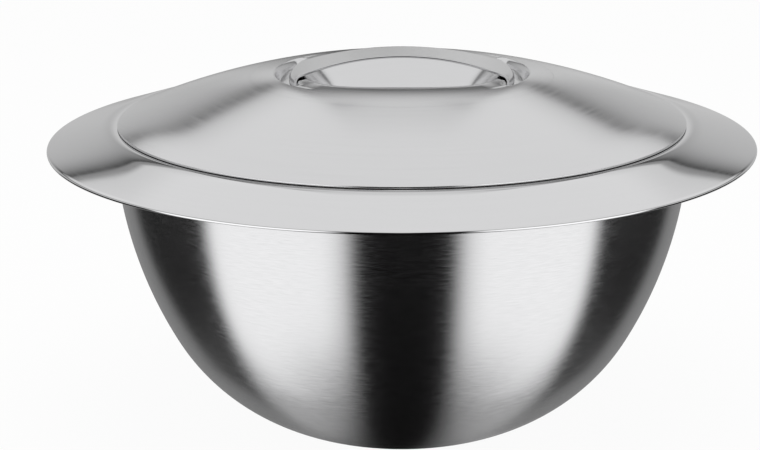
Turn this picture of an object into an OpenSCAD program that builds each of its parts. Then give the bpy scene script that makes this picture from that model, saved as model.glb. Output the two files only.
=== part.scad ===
// Insulated salad bowl: two steel bowls with insulation between them, a wide brim,
// and a domed lid with a strap handle across a sunk pan.
// Round pieces are outlines in the radius and height plane, turned about Z.

/* [Bowl] */
// Radius of the flat base, where the wall begins
base_r = 50; // [44:1:56]
// Angle between the foot of the wall and the table
base_edge_angle = 14.4; // [12:0.1:18]
// Radius of the wall's lower curve
lower_curve_r = 100.7; // [95:0.1:106]
// Angle that the lower curve turns through
lower_curve_turn = 46.3; // [44:0.1:49]
// Radius of the wall's upper curve, which ends under the brim
upper_curve_r = 204; // [190:1:220]
// Height of the brim's crest above the table
crest_z = 151.3; // [140:0.1:160]
// Thickness of the steel sheet of both bowls
shell_t = 0.6; // [0.4:0.1:0.8]
// Distance between the two bowls
cavity_w = 10; // [7:1:14]

/* [Brim] */
// Diameter over the brim
brim_d = 341.5; // [334:0.5:360]
// Angle at which the brim falls away outwards
brim_slope = 17.4; // [10:0.1:20]
// Radius of the rounding between the mouth and the crest
mouth_round_r = 8; // [6:0.5:10]
// Width of the flat seat inside the lid's edge
seat_w = 1.4; // [1:0.1:2]
// Width of the flat crest outside the lid's edge
crest_land_w = 1.2; // [0.5:0.1:2]
// Radius of the bend from the crest into the slope
crest_bend_r = 24; // [18:1:28]
// Width of the fold under the brim's edge
hem_w = 6; // [4:1:9]

/* [Base] */
// Radius of the raised panel inside the standing ring
panel_r = 39; // [30:1:40]
// Height of that panel above the table
panel_raise = 1.4; // [1.2:0.1:2]
// Radius of the filling hole in the base
fill_hole_r = 5; // [4:0.5:7]
// Radius of the plug's flange
plug_flange_r = 9; // [8.5:0.5:12]
// Thickness of the plug's flange
plug_flange_t = 1; // [0.8:0.1:1.1]
// Height of the plug's barb above the base sheet
barb_h = 2.5; // [2:0.1:4]
// How far the barb is wider than the hole
barb_w = 0.6; // [0.3:0.1:1]

/* [Lid] */
// Radius of the dome's outer face
dome_r = 350; // [320:1:400]
// Thickness of the dome's steel sheet
lid_t = 0.8; // [0.6:0.1:1]
// Thickness of the inner skin
liner_t = 0.6; // [0.4:0.1:0.8]
// Depth of the inner skin's plug below the crest
plug_depth = 10; // [7:0.5:14]
// Gap between that plug and the mouth
plug_clearance = 2; // [1.5:0.1:3]
// Radius of the plug's lower corner
plug_corner_r = 5; // [3:0.5:6]
// Distance from the skin's flange to the dome's edge
liner_inset = 3; // [2:0.5:4]
// Angle of the mouth's rounding at which the seal ends below
seal_low_angle = 20; // [15:1:25]
// Angle of the mouth's rounding at which the seal ends outside
seal_high_angle = 50; // [45:1:55]

/* [Handle pan] */
// Radius of the pan's seam in the dome
pan_r = 73; // [72:0.5:75]
// Radius of the roll from the dome's slope to the pan's level rim
rim_roll_r = 182; // [174:1:190]
// Depth of the pan's floor below the top of the dome's curve
pan_depth = 20.5; // [19:0.5:22]
// Length of the well between the strap's ends
well_l = 95; // [92:1:96]
// Width of the well
well_w = 88; // [84:1:90]
// Radius of the rounding at the well's lip
well_lip = 1.2; // [1:0.1:1.6]
// Rise of the well's wall for each step inwards
well_rise = 1.25; // [1.15:0.05:1.4]
// Outer radius of the groove that each end of the strap stands in
groove_r = 62; // [61:0.5:63]
// Width of that groove
groove_w = 10.4; // [10.2:0.1:10.8]
// Depth of that groove below the rim
groove_depth = 5; // [4.6:0.1:5.4]
// Radius at which a ramp under the strap begins to lead down to the groove
ramp_r = 43; // [42:0.5:44]
// Fall of that ramp
ramp_fall = 2.6; // [2.4:0.1:3]
// Half of the angle that each groove takes up at its full depth, round the strap
groove_half_angle = 22.5; // [22.5:0.5:24]
// How much further it reaches outside the strap's end
groove_widening = 7; // [4:0.5:9]
// Angle over which a groove runs out
groove_fade_angle = 6; // [5:0.5:8]
// Depth of the step that goes on from the groove's wall
step_depth = 0.4; // [0.3:0.05:0.5]

/* [Handle strap] */
// Thickness of the strap
strap_t = 1.2; // [1:0.1:1.3]
// Width of the strap at its waist
waist_w = 24.4; // [20:0.1:26]
// Radius of the strap's hollow sides, seen from above
waist_side_r = 185; // [170:1:240]
// Radius of the strap's arch
arch_r = 150; // [146:1:160]
// Height of the strap above the dome's own top
strap_rise = 4.2; // [3.8:0.1:5]
// Radius at which the strap's ends turn down
strap_end_r = 54.5; // [54:0.1:55]

/* [Fits] */
// Gap between the lid and the seat it lies on
seat_gap = 0.3; // [0.2:0.05:0.5]
// Gap between sheets that are folded or welded together
fit = 0.05; // [0.02:0.01:0.1]
// Gap between insulation and sheet
bond_gap = 0.15; // [0.1:0.05:0.3]

/* [Hidden] */
$fn = 180;
arc_steps = 16;
// Rings of the pan up to its grooves, in a groove, in its wall and from there to the seam
pan_ring_counts = [13, 5, 4, 5];
pan_turns = 96;
// Powers that shape the well: its outline and the rounding into its floor
well_power = 2.7;
floor_power = 6;
// Widths of a groove's inner slope and outer wall
groove_slope_w = 1.5;
// Distance over which a groove widens
widening_w = 2.5;
groove_wall_w = 3.5;
// Angles between which the step runs out
step_angles = [36, 52];
// Step over which a slope is measured, as a share of the pan's radius
slope_step_share = 0.001;
// Width of the pocket that the insulation leaves round the plug's barb
barb_room = 2;

// Bowl wall: two arcs that share their tangent, and what lies at a depth inside it
lower_end_angle = base_edge_angle + lower_curve_turn;
lower_c = [base_r - lower_curve_r * sin(base_edge_angle), lower_curve_r * cos(base_edge_angle)];
upper_c = lower_c
    + (lower_curve_r - upper_curve_r) * [sin(lower_end_angle), -cos(lower_end_angle)];
cavity_far = shell_t + cavity_w;
inside_depth = cavity_far + shell_t;

// Mouth and brim
mouth_z = crest_z - mouth_round_r;
mouth_r = wall_radius(inside_depth, mouth_z);
mouth_c = [mouth_r + mouth_round_r, mouth_z];
lid_r = mouth_c.x + seat_w;
hem_t = 3 * shell_t + 2 * fit;
bend_c = [lid_r + crest_land_w, crest_z - crest_bend_r];
slope_out = [cos(brim_slope), -sin(brim_slope)];
slope_up = [sin(brim_slope), cos(brim_slope)];
slope_l = (brim_d / 2 - hem_t / 2 - bend_c.x - (crest_bend_r - hem_t / 2) * slope_up.x) / slope_out.x;
hem_c = brim_point(hem_t / 2, slope_l);
// The outer bowl turns out below the bend, and lies against the brim from there
flange_depth = 2 * shell_t + fit;
flange_start = brim_point(flange_depth, 0);
flange_turn_r = (flange_start.x - wall_radius(0, mouth_z)) / (1 + slope_up.x);
flange_c = flange_start - flange_turn_r * slope_up;

// Lid
dome_z = crest_z + seat_gap - sqrt(pow(dome_r - lid_t, 2) - pow(lid_r, 2));
liner_r = dome_r - lid_t - fit;
plug_r = mouth_r - plug_clearance;
plug_z = crest_z - plug_depth;
plug_corner_c = [plug_r - plug_corner_r, plug_z + plug_corner_r];

// Pan
rim_flat_r = pan_r * (1 - rim_roll_r / dome_r);
rim_z = dome_height(dome_r, pan_r) + rim_roll_r - sqrt(pow(rim_roll_r, 2) - pow(pan_r - rim_flat_r, 2));
floor_z = dome_z + dome_r - pan_depth;
groove_bounds = [groove_r - groove_w, groove_r - groove_wall_w, groove_r];
pan_rings = concat(ring_row(0, groove_bounds[0], 0), ring_row(groove_bounds[0], groove_bounds[1], 1),
    ring_row(groove_bounds[1], groove_bounds[2], 2), ring_row(groove_bounds[2], pan_r, 3));

// Strap
arch_c = [0, dome_z + dome_r + strap_rise - arch_r];
// The turned-down ends stand on the grooves' floors
foot_z = rim_height(strap_end_r - strap_t) - groove_depth + bond_gap;

// Points of an arc about c, from angle a to angle b
function arc(c, r, a, b) = [for (i = [0:arc_steps])
    let (t = a + (b - a) * i / arc_steps) c + r * [cos(t), sin(t)]];

function backwards(path) = [for (i = [len(path) - 1:-1:0]) path[i]];

function mix(a, b, share) = a + (b - a) * share;

// Radius of the wall's face at a depth inside the bowl, at a height in its upper curve
function wall_radius(depth, z) = upper_c.x + sqrt(pow(upper_curve_r - depth, 2) - pow(z - upper_c.y, 2));

// The wall's face at a depth inside the bowl, from a low height to a high one
function wall(depth, low_z, high_z) = concat(
    arc(lower_c, lower_curve_r - depth, asin((low_z - lower_c.y) / (lower_curve_r - depth)),
        lower_end_angle - 90),
    arc(upper_c, upper_curve_r - depth, lower_end_angle - 90,
        asin((high_z - upper_c.y) / (upper_curve_r - depth))));

// A point at a depth below the brim's upper face, at a length down its slope
function brim_point(depth, length) = bend_c + (crest_bend_r - depth) * slope_up + length * slope_out;

// Height of a dome of a radius about the lid's centre
function dome_height(sphere_r, r) = dome_z + sqrt(sphere_r * sphere_r - r * r);

function dome_arc(sphere_r, from_r, to_r) = [for (i = [0:arc_steps])
    let (r = mix(from_r, to_r, i / arc_steps)) [r, dome_height(sphere_r, r)]];

// The smaller of two depths, with a rounding where they meet
function soft_least(a, b, power) = a * b / pow(pow(a, power) + pow(b, power), 1 / power);

// Positive part of x, with a rounding at zero
function soft_positive(x, round) = (x + sqrt(x * x + round * round)) / 2;

function smooth_step(x) = let (t = max(0, min(1, x))) t * t * (3 - 2 * t);

// Radii of the rings after one radius up to another
function ring_row(from_r, to_r, row) = [for (i = [1:pan_ring_counts[row]])
    mix(from_r, to_r, i / pan_ring_counts[row])];

// The pan's level rim, which rolls into the dome
function rim_height(r) = rim_z - rim_roll_r
    + sqrt(pow(rim_roll_r, 2) - pow(max(0, r - rim_flat_r), 2));

// How far the boat-shaped well lies below the rim
function well_share(x, y) = pow(pow(2 * abs(x) / well_l, well_power)
    + pow(2 * abs(y) / well_w, well_power), 1 / well_power);
function well_fall(x, y) = soft_least(
    well_rise * soft_positive((1 - well_share(x, y)) * well_w / 2, well_lip),
    rim_z - floor_z, floor_power);

// How far the grooves at the strap's ends lie below the rim, and the step that goes on from them
function groove_fall(r, off) = let (wide = groove_widening * smooth_step((r - strap_end_r) / widening_w))
    (1 - smooth_step((off - groove_half_angle - wide) / groove_fade_angle))
    * smooth_step((groove_r - r) / groove_wall_w)
    * (ramp_fall * smooth_step((r - ramp_r) / (groove_bounds[0] - ramp_r))
        + (groove_depth - ramp_fall) * smooth_step((r - groove_bounds[0]) / groove_slope_w));
function step_fall(r, off) = step_depth
    * (1 - smooth_step((off - step_angles[0]) / (step_angles[1] - step_angles[0])))
    * smooth_step((groove_r - r) / groove_wall_w);

// Height of the pan's upper face
function pan_height(x, y) = let (r = norm([x, y]), off = atan2(abs(y), abs(x)),
        near = 1 - smooth_step((r - groove_r) / (pan_r - groove_r)))
    rim_height(r) - max(well_fall(x, y) * near, groove_fall(r, off), step_fall(r, off));

// The pan's sheet measured straight down, which grows where it is steep
function pan_drop(x, y) = let (d = slope_step_share * pan_r,
        across = (pan_height(x + d, y) - pan_height(x - d, y)) / (2 * d),
        along = (pan_height(x, y + d) - pan_height(x, y - d)) / (2 * d))
    lid_t * norm([1, across, along]);

// Lowest height of the pan's underside at a radius
function pan_under(r) = min([for (k = [0:pan_turns / 4]) let (a = 360 * k / pan_turns,
        x = r * cos(a), y = r * sin(a)) pan_height(x, y) - pan_drop(x, y)]);

// Side view of what lies under the arch at a depth below its face
function under_arch(depth) = let (reach = strap_end_r + strap_t, end = asin(reach / (arch_r - depth)))
    concat(arc(arch_c, arch_r - depth, 90 + end, 90 - end),
        [[reach, foot_z - depth], [-reach, foot_z - depth]]);

module outer_shell() {
    color("silver") rotate_extrude() polygon(concat(
        [[fill_hole_r, panel_raise], [panel_r, panel_raise], [panel_r + panel_raise, 0]],
        wall(0, 0, flange_c.y),
        arc(flange_c, flange_turn_r, 180, 90 - brim_slope),
        [brim_point(flange_depth, slope_l - fit), brim_point(flange_depth - shell_t, slope_l - fit)],
        arc(flange_c, flange_turn_r + shell_t, 90 - brim_slope, 180),
        backwards(wall(shell_t, shell_t, flange_c.y)),
        [[panel_r + panel_raise, shell_t], [panel_r, panel_raise + shell_t],
            [fill_hole_r, panel_raise + shell_t]]));
}

module inner_shell() {
    color("gainsboro") rotate_extrude() polygon(concat(
        [[0, inside_depth]],
        wall(inside_depth, inside_depth, mouth_z),
        arc(mouth_c, mouth_round_r, 180, 90),
        arc(bend_c, crest_bend_r, 90, 90 - brim_slope),
        arc(hem_c, hem_t / 2, 90 - brim_slope, -90 - brim_slope),
        [brim_point(hem_t, slope_l - hem_w), brim_point(hem_t - shell_t, slope_l - hem_w)],
        arc(hem_c, hem_t / 2 - shell_t, -90 - brim_slope, 90 - brim_slope),
        arc(bend_c, crest_bend_r - shell_t, 90 - brim_slope, 90),
        arc(mouth_c, mouth_round_r - shell_t, 90, 180),
        backwards(wall(cavity_far, cavity_far, mouth_z)),
        [[0, cavity_far]]));
}

module bowl_insulation() {
    low_z = panel_raise + shell_t + bond_gap;
    room_r = fill_hole_r + barb_w + barb_room;
    room_z = panel_raise + shell_t + barb_h + bond_gap;
    color("khaki") rotate_extrude() polygon(concat(
        [[0, room_z], [room_r, room_z], [room_r, low_z]],
        wall(shell_t + bond_gap, low_z, mouth_z),
        backwards(wall(cavity_far - bond_gap, cavity_far - bond_gap, mouth_z)),
        [[0, cavity_far - bond_gap]]));
}

module base_plug() {
    flange_z = panel_raise - fit;
    barb_z = panel_raise + shell_t + fit;
    shank_r = fill_hole_r - fit;
    color("dimgray") rotate_extrude() polygon([
        [0, flange_z - plug_flange_t], [plug_flange_r, flange_z - plug_flange_t],
        [plug_flange_r, flange_z], [shank_r, flange_z], [shank_r, barb_z],
        [fill_hole_r + barb_w, barb_z], [shank_r - barb_w, panel_raise + shell_t + barb_h],
        [0, panel_raise + shell_t + barb_h]]);
}

module lid_dome() {
    color("gainsboro") rotate_extrude() polygon(concat(
        dome_arc(dome_r, pan_r + fit, lid_r),
        backwards(dome_arc(dome_r - lid_t, pan_r + fit, lid_r))));
}

// One closed sheet: rings of points above, the same rings below, and the rim between them
module handle_pan() {
    rings = len(pan_rings);
    plan = [for (r = pan_rings, k = [0:pan_turns - 1]) let (a = 360 * k / pan_turns)
        [r * cos(a), r * sin(a)]];
    above = [for (p = plan) [p.x, p.y, pan_height(p.x, p.y)]];
    below = [for (p = plan) [p.x, p.y, pan_height(p.x, p.y) - pan_drop(p.x, p.y)]];
    count = rings * pan_turns;
    middle_z = pan_height(0, 0);
    points = concat(above, below, [[0, 0, middle_z], [0, 0, middle_z - lid_t]]);
    centre = 2 * count;
    rim = count - pan_turns;
    faces = concat(
        [for (k = [0:pan_turns - 1]) let (n = (k + 1) % pan_turns) [centre, n, k]],
        [for (k = [0:pan_turns - 1]) let (n = (k + 1) % pan_turns) [centre + 1, count + k, count + n]],
        [for (i = [0:rings - 2], k = [0:pan_turns - 1], half = [0, 1])
            let (n = (k + 1) % pan_turns, a = i * pan_turns, b = a + pan_turns)
            half == 0 ? [a + k, a + n, b + n] : [a + k, b + n, b + k]],
        [for (i = [0:rings - 2], k = [0:pan_turns - 1], half = [0, 1])
            let (n = (k + 1) % pan_turns, a = count + i * pan_turns, b = a + pan_turns)
            half == 0 ? [a + k, b + n, a + n] : [a + k, b + k, b + n]],
        [for (k = [0:pan_turns - 1], half = [0, 1])
            let (n = (k + 1) % pan_turns, a = rim, b = count + rim)
            half == 0 ? [a + k, a + n, b + n] : [a + k, b + n, b + k]]);
    color("lightgray") polyhedron(points, faces);
}

module strap_side(depth) {
    rotate([90, 0, 0]) linear_extrude(3 * strap_end_r, center = true) polygon(under_arch(depth));
}

// The arch, with its waist, and its ends turned down on a circle about the lid's axis
module handle_strap() {
    color("gainsboro") difference() {
        intersection() {
            strap_side(0);
            translate([0, 0, foot_z]) linear_extrude(arch_r) difference() {
                circle(strap_end_r);
                for (side = [-1, 1])
                    translate([0, side * (waist_w / 2 + waist_side_r)]) circle(waist_side_r);
            }
        }
        intersection() {
            strap_side(strap_t);
            translate([0, 0, foot_z - strap_t]) cylinder(arch_r, r = strap_end_r - strap_t);
        }
    }
}

module lid_liner() {
    tip_r = lid_r - liner_inset;
    color("silver") rotate_extrude() polygon(concat(
        [[0, plug_z]],
        arc(plug_corner_c, plug_corner_r, -90, 0),
        dome_arc(liner_r - liner_t, plug_r, tip_r),
        backwards(dome_arc(liner_r, plug_r - liner_t, tip_r)),
        arc(plug_corner_c, plug_corner_r - liner_t, 0, -90),
        [[0, plug_z + liner_t]]));
}

module lid_insulation() {
    gap = liner_t + bond_gap;
    color("khaki") rotate_extrude() polygon(concat(
        [[0, plug_z + gap]],
        arc(plug_corner_c, plug_corner_r - gap, -90, 0),
        backwards(dome_arc(dome_r - lid_t - bond_gap, pan_r + fit, plug_r - gap)),
        [for (r = backwards(pan_rings)) [r, pan_under(r) - bond_gap]],
        [[0, pan_under(0) - bond_gap]]));
}

module lid_seal() {
    face_r = mouth_round_r + seat_gap;
    inner_r = plug_r + fit;
    outer_r = mouth_c.x - face_r * cos(seal_high_angle);
    color("whitesmoke") rotate_extrude() polygon(concat(
        [[inner_r, mouth_c.y + face_r * sin(seal_low_angle)]],
        arc(mouth_c, face_r, 180 - seal_low_angle, 180 - seal_high_angle),
        backwards(dome_arc(liner_r - liner_t - fit, inner_r, outer_r))));
}

outer_shell();
inner_shell();
bowl_insulation();
base_plug();
lid_dome();
handle_pan();
handle_strap();
lid_liner();
lid_insulation();
lid_seal();
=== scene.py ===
"""Insulated salad bowl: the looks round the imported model.

The bowl is two spun steel sheets with foam between them, a wide polished brim folded over the
outer sheet, and a domed lid whose strap handle crosses a sunk pan. Sizes are in millimetres
and meshes in metres. X runs along the strap, Y away from the camera and Z up.
"""
import logging
import math
from dataclasses import dataclass, field
from enum import Enum
from typing import Any

import bpy
import numpy as np
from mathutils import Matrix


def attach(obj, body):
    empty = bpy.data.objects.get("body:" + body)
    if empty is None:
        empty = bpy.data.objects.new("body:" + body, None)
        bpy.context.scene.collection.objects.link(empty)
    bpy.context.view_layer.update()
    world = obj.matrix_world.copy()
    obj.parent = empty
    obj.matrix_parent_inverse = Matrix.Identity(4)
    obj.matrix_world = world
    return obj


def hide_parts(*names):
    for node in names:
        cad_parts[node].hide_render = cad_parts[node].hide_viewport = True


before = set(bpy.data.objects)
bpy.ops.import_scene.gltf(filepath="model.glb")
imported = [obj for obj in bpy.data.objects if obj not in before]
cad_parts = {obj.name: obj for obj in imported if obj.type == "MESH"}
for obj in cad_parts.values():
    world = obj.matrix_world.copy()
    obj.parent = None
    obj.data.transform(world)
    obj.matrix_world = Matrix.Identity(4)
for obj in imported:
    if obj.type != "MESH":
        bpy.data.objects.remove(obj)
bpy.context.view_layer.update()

MM = 0.001
FRAME_WIDTH, FRAME_HEIGHT = 760, 450
ON_AXIS = 1e-6  # mm: a point nearer the axis than this lies on it
SEAM = 0.002  # mm: points nearer each other than this are made one

Number = np.ndarray | float
Light = bpy.types.NodeSocket | float

logging.basicConfig(level=logging.INFO, format="%(levelname)s %(message)s")
log = logging.getLogger("salad_bowl")


class Body(Enum):
    """The two bodies that move apart."""

    BOWL = "bowl"
    LID = "lid"


# Nodes and meshes


def linear(hex_colour: str) -> tuple[float, float, float, float]:
    """Turns an sRGB hex value into a linear colour.

    Args:
        hex_colour: six hex digits, with or without a leading #.

    Returns:
        Red, green, blue and an alpha of 1.
    """
    digits = hex_colour.lstrip("#")
    parts = [int(digits[i:i + 2], 16) / 255 for i in (0, 2, 4)]
    red, green, blue = (c / 12.92 if c <= 0.04045 else ((c + 0.055) / 1.055) ** 2.4 for c in parts)
    return red, green, blue, 1.0


def add_node(tree: bpy.types.NodeTree, kind: str, links: dict[Any, Any] | None = None,
             **settings: Any) -> bpy.types.Node:
    """Adds a node with its settings and links.

    Args:
        tree: the node tree.
        kind: the node's type name.
        links: for an input's name or number, its value or the output it takes.
        settings: the node's own properties.

    Returns:
        The new node.
    """
    node = tree.nodes.new(kind)
    for name, value in settings.items():
        setattr(node, name, value)
    for key, value in (links or {}).items():
        socket = node.inputs[key]
        if isinstance(value, bpy.types.NodeSocket):
            tree.links.new(value, socket)
        else:
            socket.default_value = value
    return node


def new_material(name: str) -> tuple[bpy.types.Material, bpy.types.NodeTree, bpy.types.Node]:
    """Makes an empty node material.

    Args:
        name: the material's name.

    Returns:
        The material, its tree and its output node.
    """
    material = bpy.data.materials.new(name)
    material.use_nodes = True
    tree = material.node_tree
    tree.nodes.clear()
    return material, tree, add_node(tree, "ShaderNodeOutputMaterial")


def new_object(name: str, vertices: np.ndarray, faces: list[tuple[int, ...]],
               edges: list[tuple[int, int]] | None = None) -> bpy.types.Object:
    """Makes an object at the origin from points in millimetres.

    Args:
        name: the object's name.
        vertices: its points, one row each.
        faces: its faces as vertex numbers.
        edges: loose edges, if it has any.

    Returns:
        The object, linked to the scene.
    """
    mesh = bpy.data.meshes.new(name)
    mesh.from_pydata((np.asarray(vertices, float) * MM).tolist(), edges or [], faces)
    mesh.update()
    obj = bpy.data.objects.new(name, mesh)
    bpy.context.scene.collection.objects.link(obj)
    return obj


def dress(obj: bpy.types.Object, material: bpy.types.Material, sharp_angle: float) -> None:
    """Smooths a mesh but for its corners, and gives it a material.

    Args:
        obj: the object.
        material: its finish.
        sharp_angle: the angle in degrees past which an edge stays sharp.
    """
    obj.data.shade_smooth()
    obj.data.set_sharp_from_angle(angle=math.radians(sharp_angle))
    obj.data.materials.clear()
    obj.data.materials.append(material)


def settle(obj: bpy.types.Object, body: Body, slot: str, *nodes: str) -> bpy.types.Object:
    """Ties a finished piece to its body and the solids it stands for.

    Args:
        obj: the piece.
        body: the body that it moves with.
        slot: a material slot's name; not used.
        nodes: the solids that it replaces.

    Returns:
        The piece.
    """
    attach(obj, body.value)
    if nodes:
        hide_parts(*nodes)
    log.info("%s: %d faces, on %s", obj.name, len(obj.data.polygons), body.value)
    return obj


def repaint(node: str, material: bpy.types.Material) -> None:
    """Gives a solid of the frame a finish.

    Args:
        node: the solid's name.
        material: its finish.
    """
    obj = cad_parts[node]
    obj.data.materials.clear()
    obj.data.materials.append(material)
    log.info("%s keeps its solid", node)


# Sections in radius and height


def arc(centre: tuple[float, float], radius: float, start: float, end: float,
        steps: int = 16) -> np.ndarray:
    """Points of an arc.

    Args:
        centre: its centre, as radius and height.
        radius: its radius.
        start: the angle it starts at, in degrees.
        end: the angle it ends at.
        steps: the number of its steps.

    Returns:
        One row a point.
    """
    t = np.radians(np.linspace(start, end, steps + 1))
    return np.column_stack([centre[0] + radius * np.cos(t), centre[1] + radius * np.sin(t)])


def rounded_corner(before: np.ndarray, corner: np.ndarray, after: np.ndarray, radius: float,
                   steps: int = 5) -> np.ndarray:
    """Points of the rounding that replaces a corner.

    Args:
        before: the point before the corner.
        corner: the corner.
        after: the point after it.
        radius: the rounding's radius.
        steps: the number of its steps.

    Returns:
        One row a point.
    """
    a = (before - corner) / np.linalg.norm(before - corner)
    b = (after - corner) / np.linalg.norm(after - corner)
    half = math.acos(max(-1.0, min(1.0, float(a @ b)))) / 2
    centre = corner + (a + b) / np.linalg.norm(a + b) * radius / math.sin(half)
    first, last = corner + a * radius / math.tan(half), corner + b * radius / math.tan(half)
    points = []
    for t in np.linspace(0, 1, steps + 1):
        way = (first - centre) * (1 - t) + (last - centre) * t
        points.append(centre + way / np.linalg.norm(way) * radius)
    return np.array(points)


def smooth_step(x: Number) -> Number:
    """Runs from 0 to 1 with level ends as x does."""
    t = np.clip(x, 0, 1)
    return t * t * (3 - 2 * t)


def level(from_r: float, to_r: float, z: float, steps: int) -> np.ndarray:
    """Points of a level stretch of a section.

    Args:
        from_r: the radius it starts at.
        to_r: the radius it ends at.
        z: its height.
        steps: the number of its steps.

    Returns:
        One row a point.
    """
    return np.column_stack([np.linspace(from_r, to_r, steps + 1), np.full(steps + 1, z)])


class TurnedSheet:
    """A spun sheet: Geometry Nodes turn a closed section about Z."""

    def __init__(self) -> None:
        """Builds the tree once, for every turned piece."""
        self.tree = bpy.data.node_groups.new("turned_sheet", "GeometryNodeTree")
        make = self.tree.interface.new_socket
        make("Geometry", in_out="INPUT", socket_type="NodeSocketGeometry")
        self.inputs = {label: make(label, in_out="INPUT", socket_type=kind).identifier
                       for label, kind in (("Turns", "NodeSocketInt"),
                                           ("Sharp angle", "NodeSocketFloat"),
                                           ("Seam distance", "NodeSocketFloat"),
                                           ("Material", "NodeSocketMaterial"))}
        make("Geometry", in_out="OUTPUT", socket_type="NodeSocketGeometry")
        self._build()

    def _build(self) -> None:
        """Lays out the nodes: a grid whose rows follow the section and whose columns turn."""
        tree = self.tree
        given = add_node(tree, "NodeGroupInput").outputs
        count = add_node(tree, "GeometryNodeAttributeDomainSize", {"Geometry": given["Geometry"]},
                         component="MESH").outputs["Point Count"]
        columns = add_node(tree, "ShaderNodeMath", {0: given["Turns"], 1: 1.0},
                           operation="ADD").outputs[0]
        grid = add_node(tree, "GeometryNodeMeshGrid",
                        {"Size X": 1.0, "Size Y": 1.0, "Vertices X": columns,
                         "Vertices Y": count}).outputs["Mesh"]
        place = add_node(tree, "GeometryNodeInputPosition").outputs[0]
        across = add_node(tree, "ShaderNodeSeparateXYZ", {0: place}).outputs
        angle = add_node(tree, "ShaderNodeMath", {0: across["X"], 1: 2 * math.pi, 2: math.pi},
                         operation="MULTIPLY_ADD").outputs[0]
        last = add_node(tree, "ShaderNodeMath", {0: count, 1: 1.0}, operation="SUBTRACT").outputs[0]
        share = add_node(tree, "ShaderNodeMath", {0: across["Y"], 1: 0.5}, operation="ADD").outputs[0]
        row = add_node(tree, "ShaderNodeMath", {0: share, 1: last}, operation="MULTIPLY").outputs[0]
        number = add_node(tree, "FunctionNodeFloatToInt", {0: row}, rounding_mode="ROUND").outputs[0]
        sample = add_node(tree, "GeometryNodeSampleIndex",
                          {"Geometry": given["Geometry"], "Index": number},
                          data_type="FLOAT_VECTOR", domain="POINT")
        tree.links.new(place, sample.inputs["Value"])
        point = add_node(tree, "ShaderNodeSeparateXYZ", {0: sample.outputs["Value"]}).outputs
        turned = [add_node(tree, "ShaderNodeMath",
                           {0: point["X"], 1: add_node(tree, "ShaderNodeMath", {0: angle},
                                                       operation=way).outputs[0]},
                           operation="MULTIPLY").outputs[0] for way in ("COSINE", "SINE")]
        target = add_node(tree, "ShaderNodeCombineXYZ",
                          {"X": turned[0], "Y": turned[1], "Z": point["Z"]}).outputs[0]
        placed = add_node(tree, "GeometryNodeSetPosition",
                          {"Geometry": grid, "Position": target}).outputs[0]
        closed = add_node(tree, "GeometryNodeMergeByDistance",
                          {"Geometry": placed, "Distance": given["Seam distance"]}).outputs[0]
        smooth = add_node(tree, "GeometryNodeSetShadeSmooth",
                          {"Geometry": closed, "Shade Smooth": True}, domain="FACE").outputs[0]
        bend = add_node(tree, "GeometryNodeInputMeshEdgeAngle").outputs["Unsigned Angle"]
        corner = add_node(tree, "FunctionNodeCompare", {0: bend, 1: given["Sharp angle"]},
                          data_type="FLOAT", operation="GREATER_THAN").outputs[0]
        creased = add_node(tree, "GeometryNodeSetShadeSmooth",
                           {"Geometry": smooth, "Selection": corner, "Shade Smooth": False},
                           domain="EDGE").outputs[0]
        real = add_node(tree, "GeometryNodeRealizeInstances", {"Geometry": creased}).outputs[0]
        dressed = add_node(tree, "GeometryNodeSetMaterial",
                           {"Geometry": real, "Material": given["Material"]}).outputs[0]
        add_node(tree, "NodeGroupOutput", {"Geometry": dressed})

    def turn(self, name: str, section: np.ndarray, material: bpy.types.Material,
             turns: int = 288, sharp_angle: float = 32.0) -> bpy.types.Object:
        """Turns a section into a closed mesh.

        Args:
            name: the piece's name.
            section: its outline as radius and height, open only where it ends on the axis.
            material: its finish.
            turns: the number of steps round the axis.
            sharp_angle: the angle in degrees past which an edge stays sharp.

        Returns:
            The piece, with the tree's result baked into its mesh.
        """
        on_axis = section[0, 0] < ON_AXIS and section[-1, 0] < ON_AXIS
        loop = section if on_axis else np.vstack([section, section[:1]])
        area = np.sum(loop[:-1, 0] * loop[1:, 1] - loop[1:, 0] * loop[:-1, 1])
        if area < 0:
            loop = loop[::-1]
        rows = np.column_stack([loop[:, 0], np.zeros(len(loop)), loop[:, 1]])
        obj = new_object(name, rows, [], [(i, i + 1) for i in range(len(rows) - 1)])
        modifier = obj.modifiers.new("turned_sheet", "NODES")
        modifier.node_group = self.tree
        modifier[self.inputs["Turns"]] = turns
        modifier[self.inputs["Sharp angle"]] = math.radians(sharp_angle)
        modifier[self.inputs["Seam distance"]] = SEAM * MM
        modifier[self.inputs["Material"]] = material
        result = obj.evaluated_get(bpy.context.evaluated_depsgraph_get())
        mesh = bpy.data.meshes.new_from_object(result)
        obj.modifiers.clear()
        obj.data = mesh
        mesh.name = name
        return obj


# Finishes

# Nearly all of a noise pattern's values lie between these
NOISE_LOW, NOISE_HIGH = 0.3, 0.7


def toned(tree: bpy.types.NodeTree, hex_colour: str, spread: float,
          share: bpy.types.NodeSocket) -> bpy.types.NodeSocket:
    """Varies a colour in tone as a pattern does.

    Args:
        tree: the material's tree.
        hex_colour: the middle colour.
        spread: how much darker and lighter it gets, as a share of itself.
        share: the pattern, dark at 0 and light at 1.

    Returns:
        The varied colour.
    """
    dark, light = (tuple(c * (1 + way * spread) for c in linear(hex_colour)[:3]) + (1.0,)
                   for way in (-1, 1))
    # A Mix node's inputs 6 and 7 are its two colours
    return add_node(tree, "ShaderNodeMix", {"Factor": share, 6: dark, 7: light},
                    data_type="RGBA").outputs[2]


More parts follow.
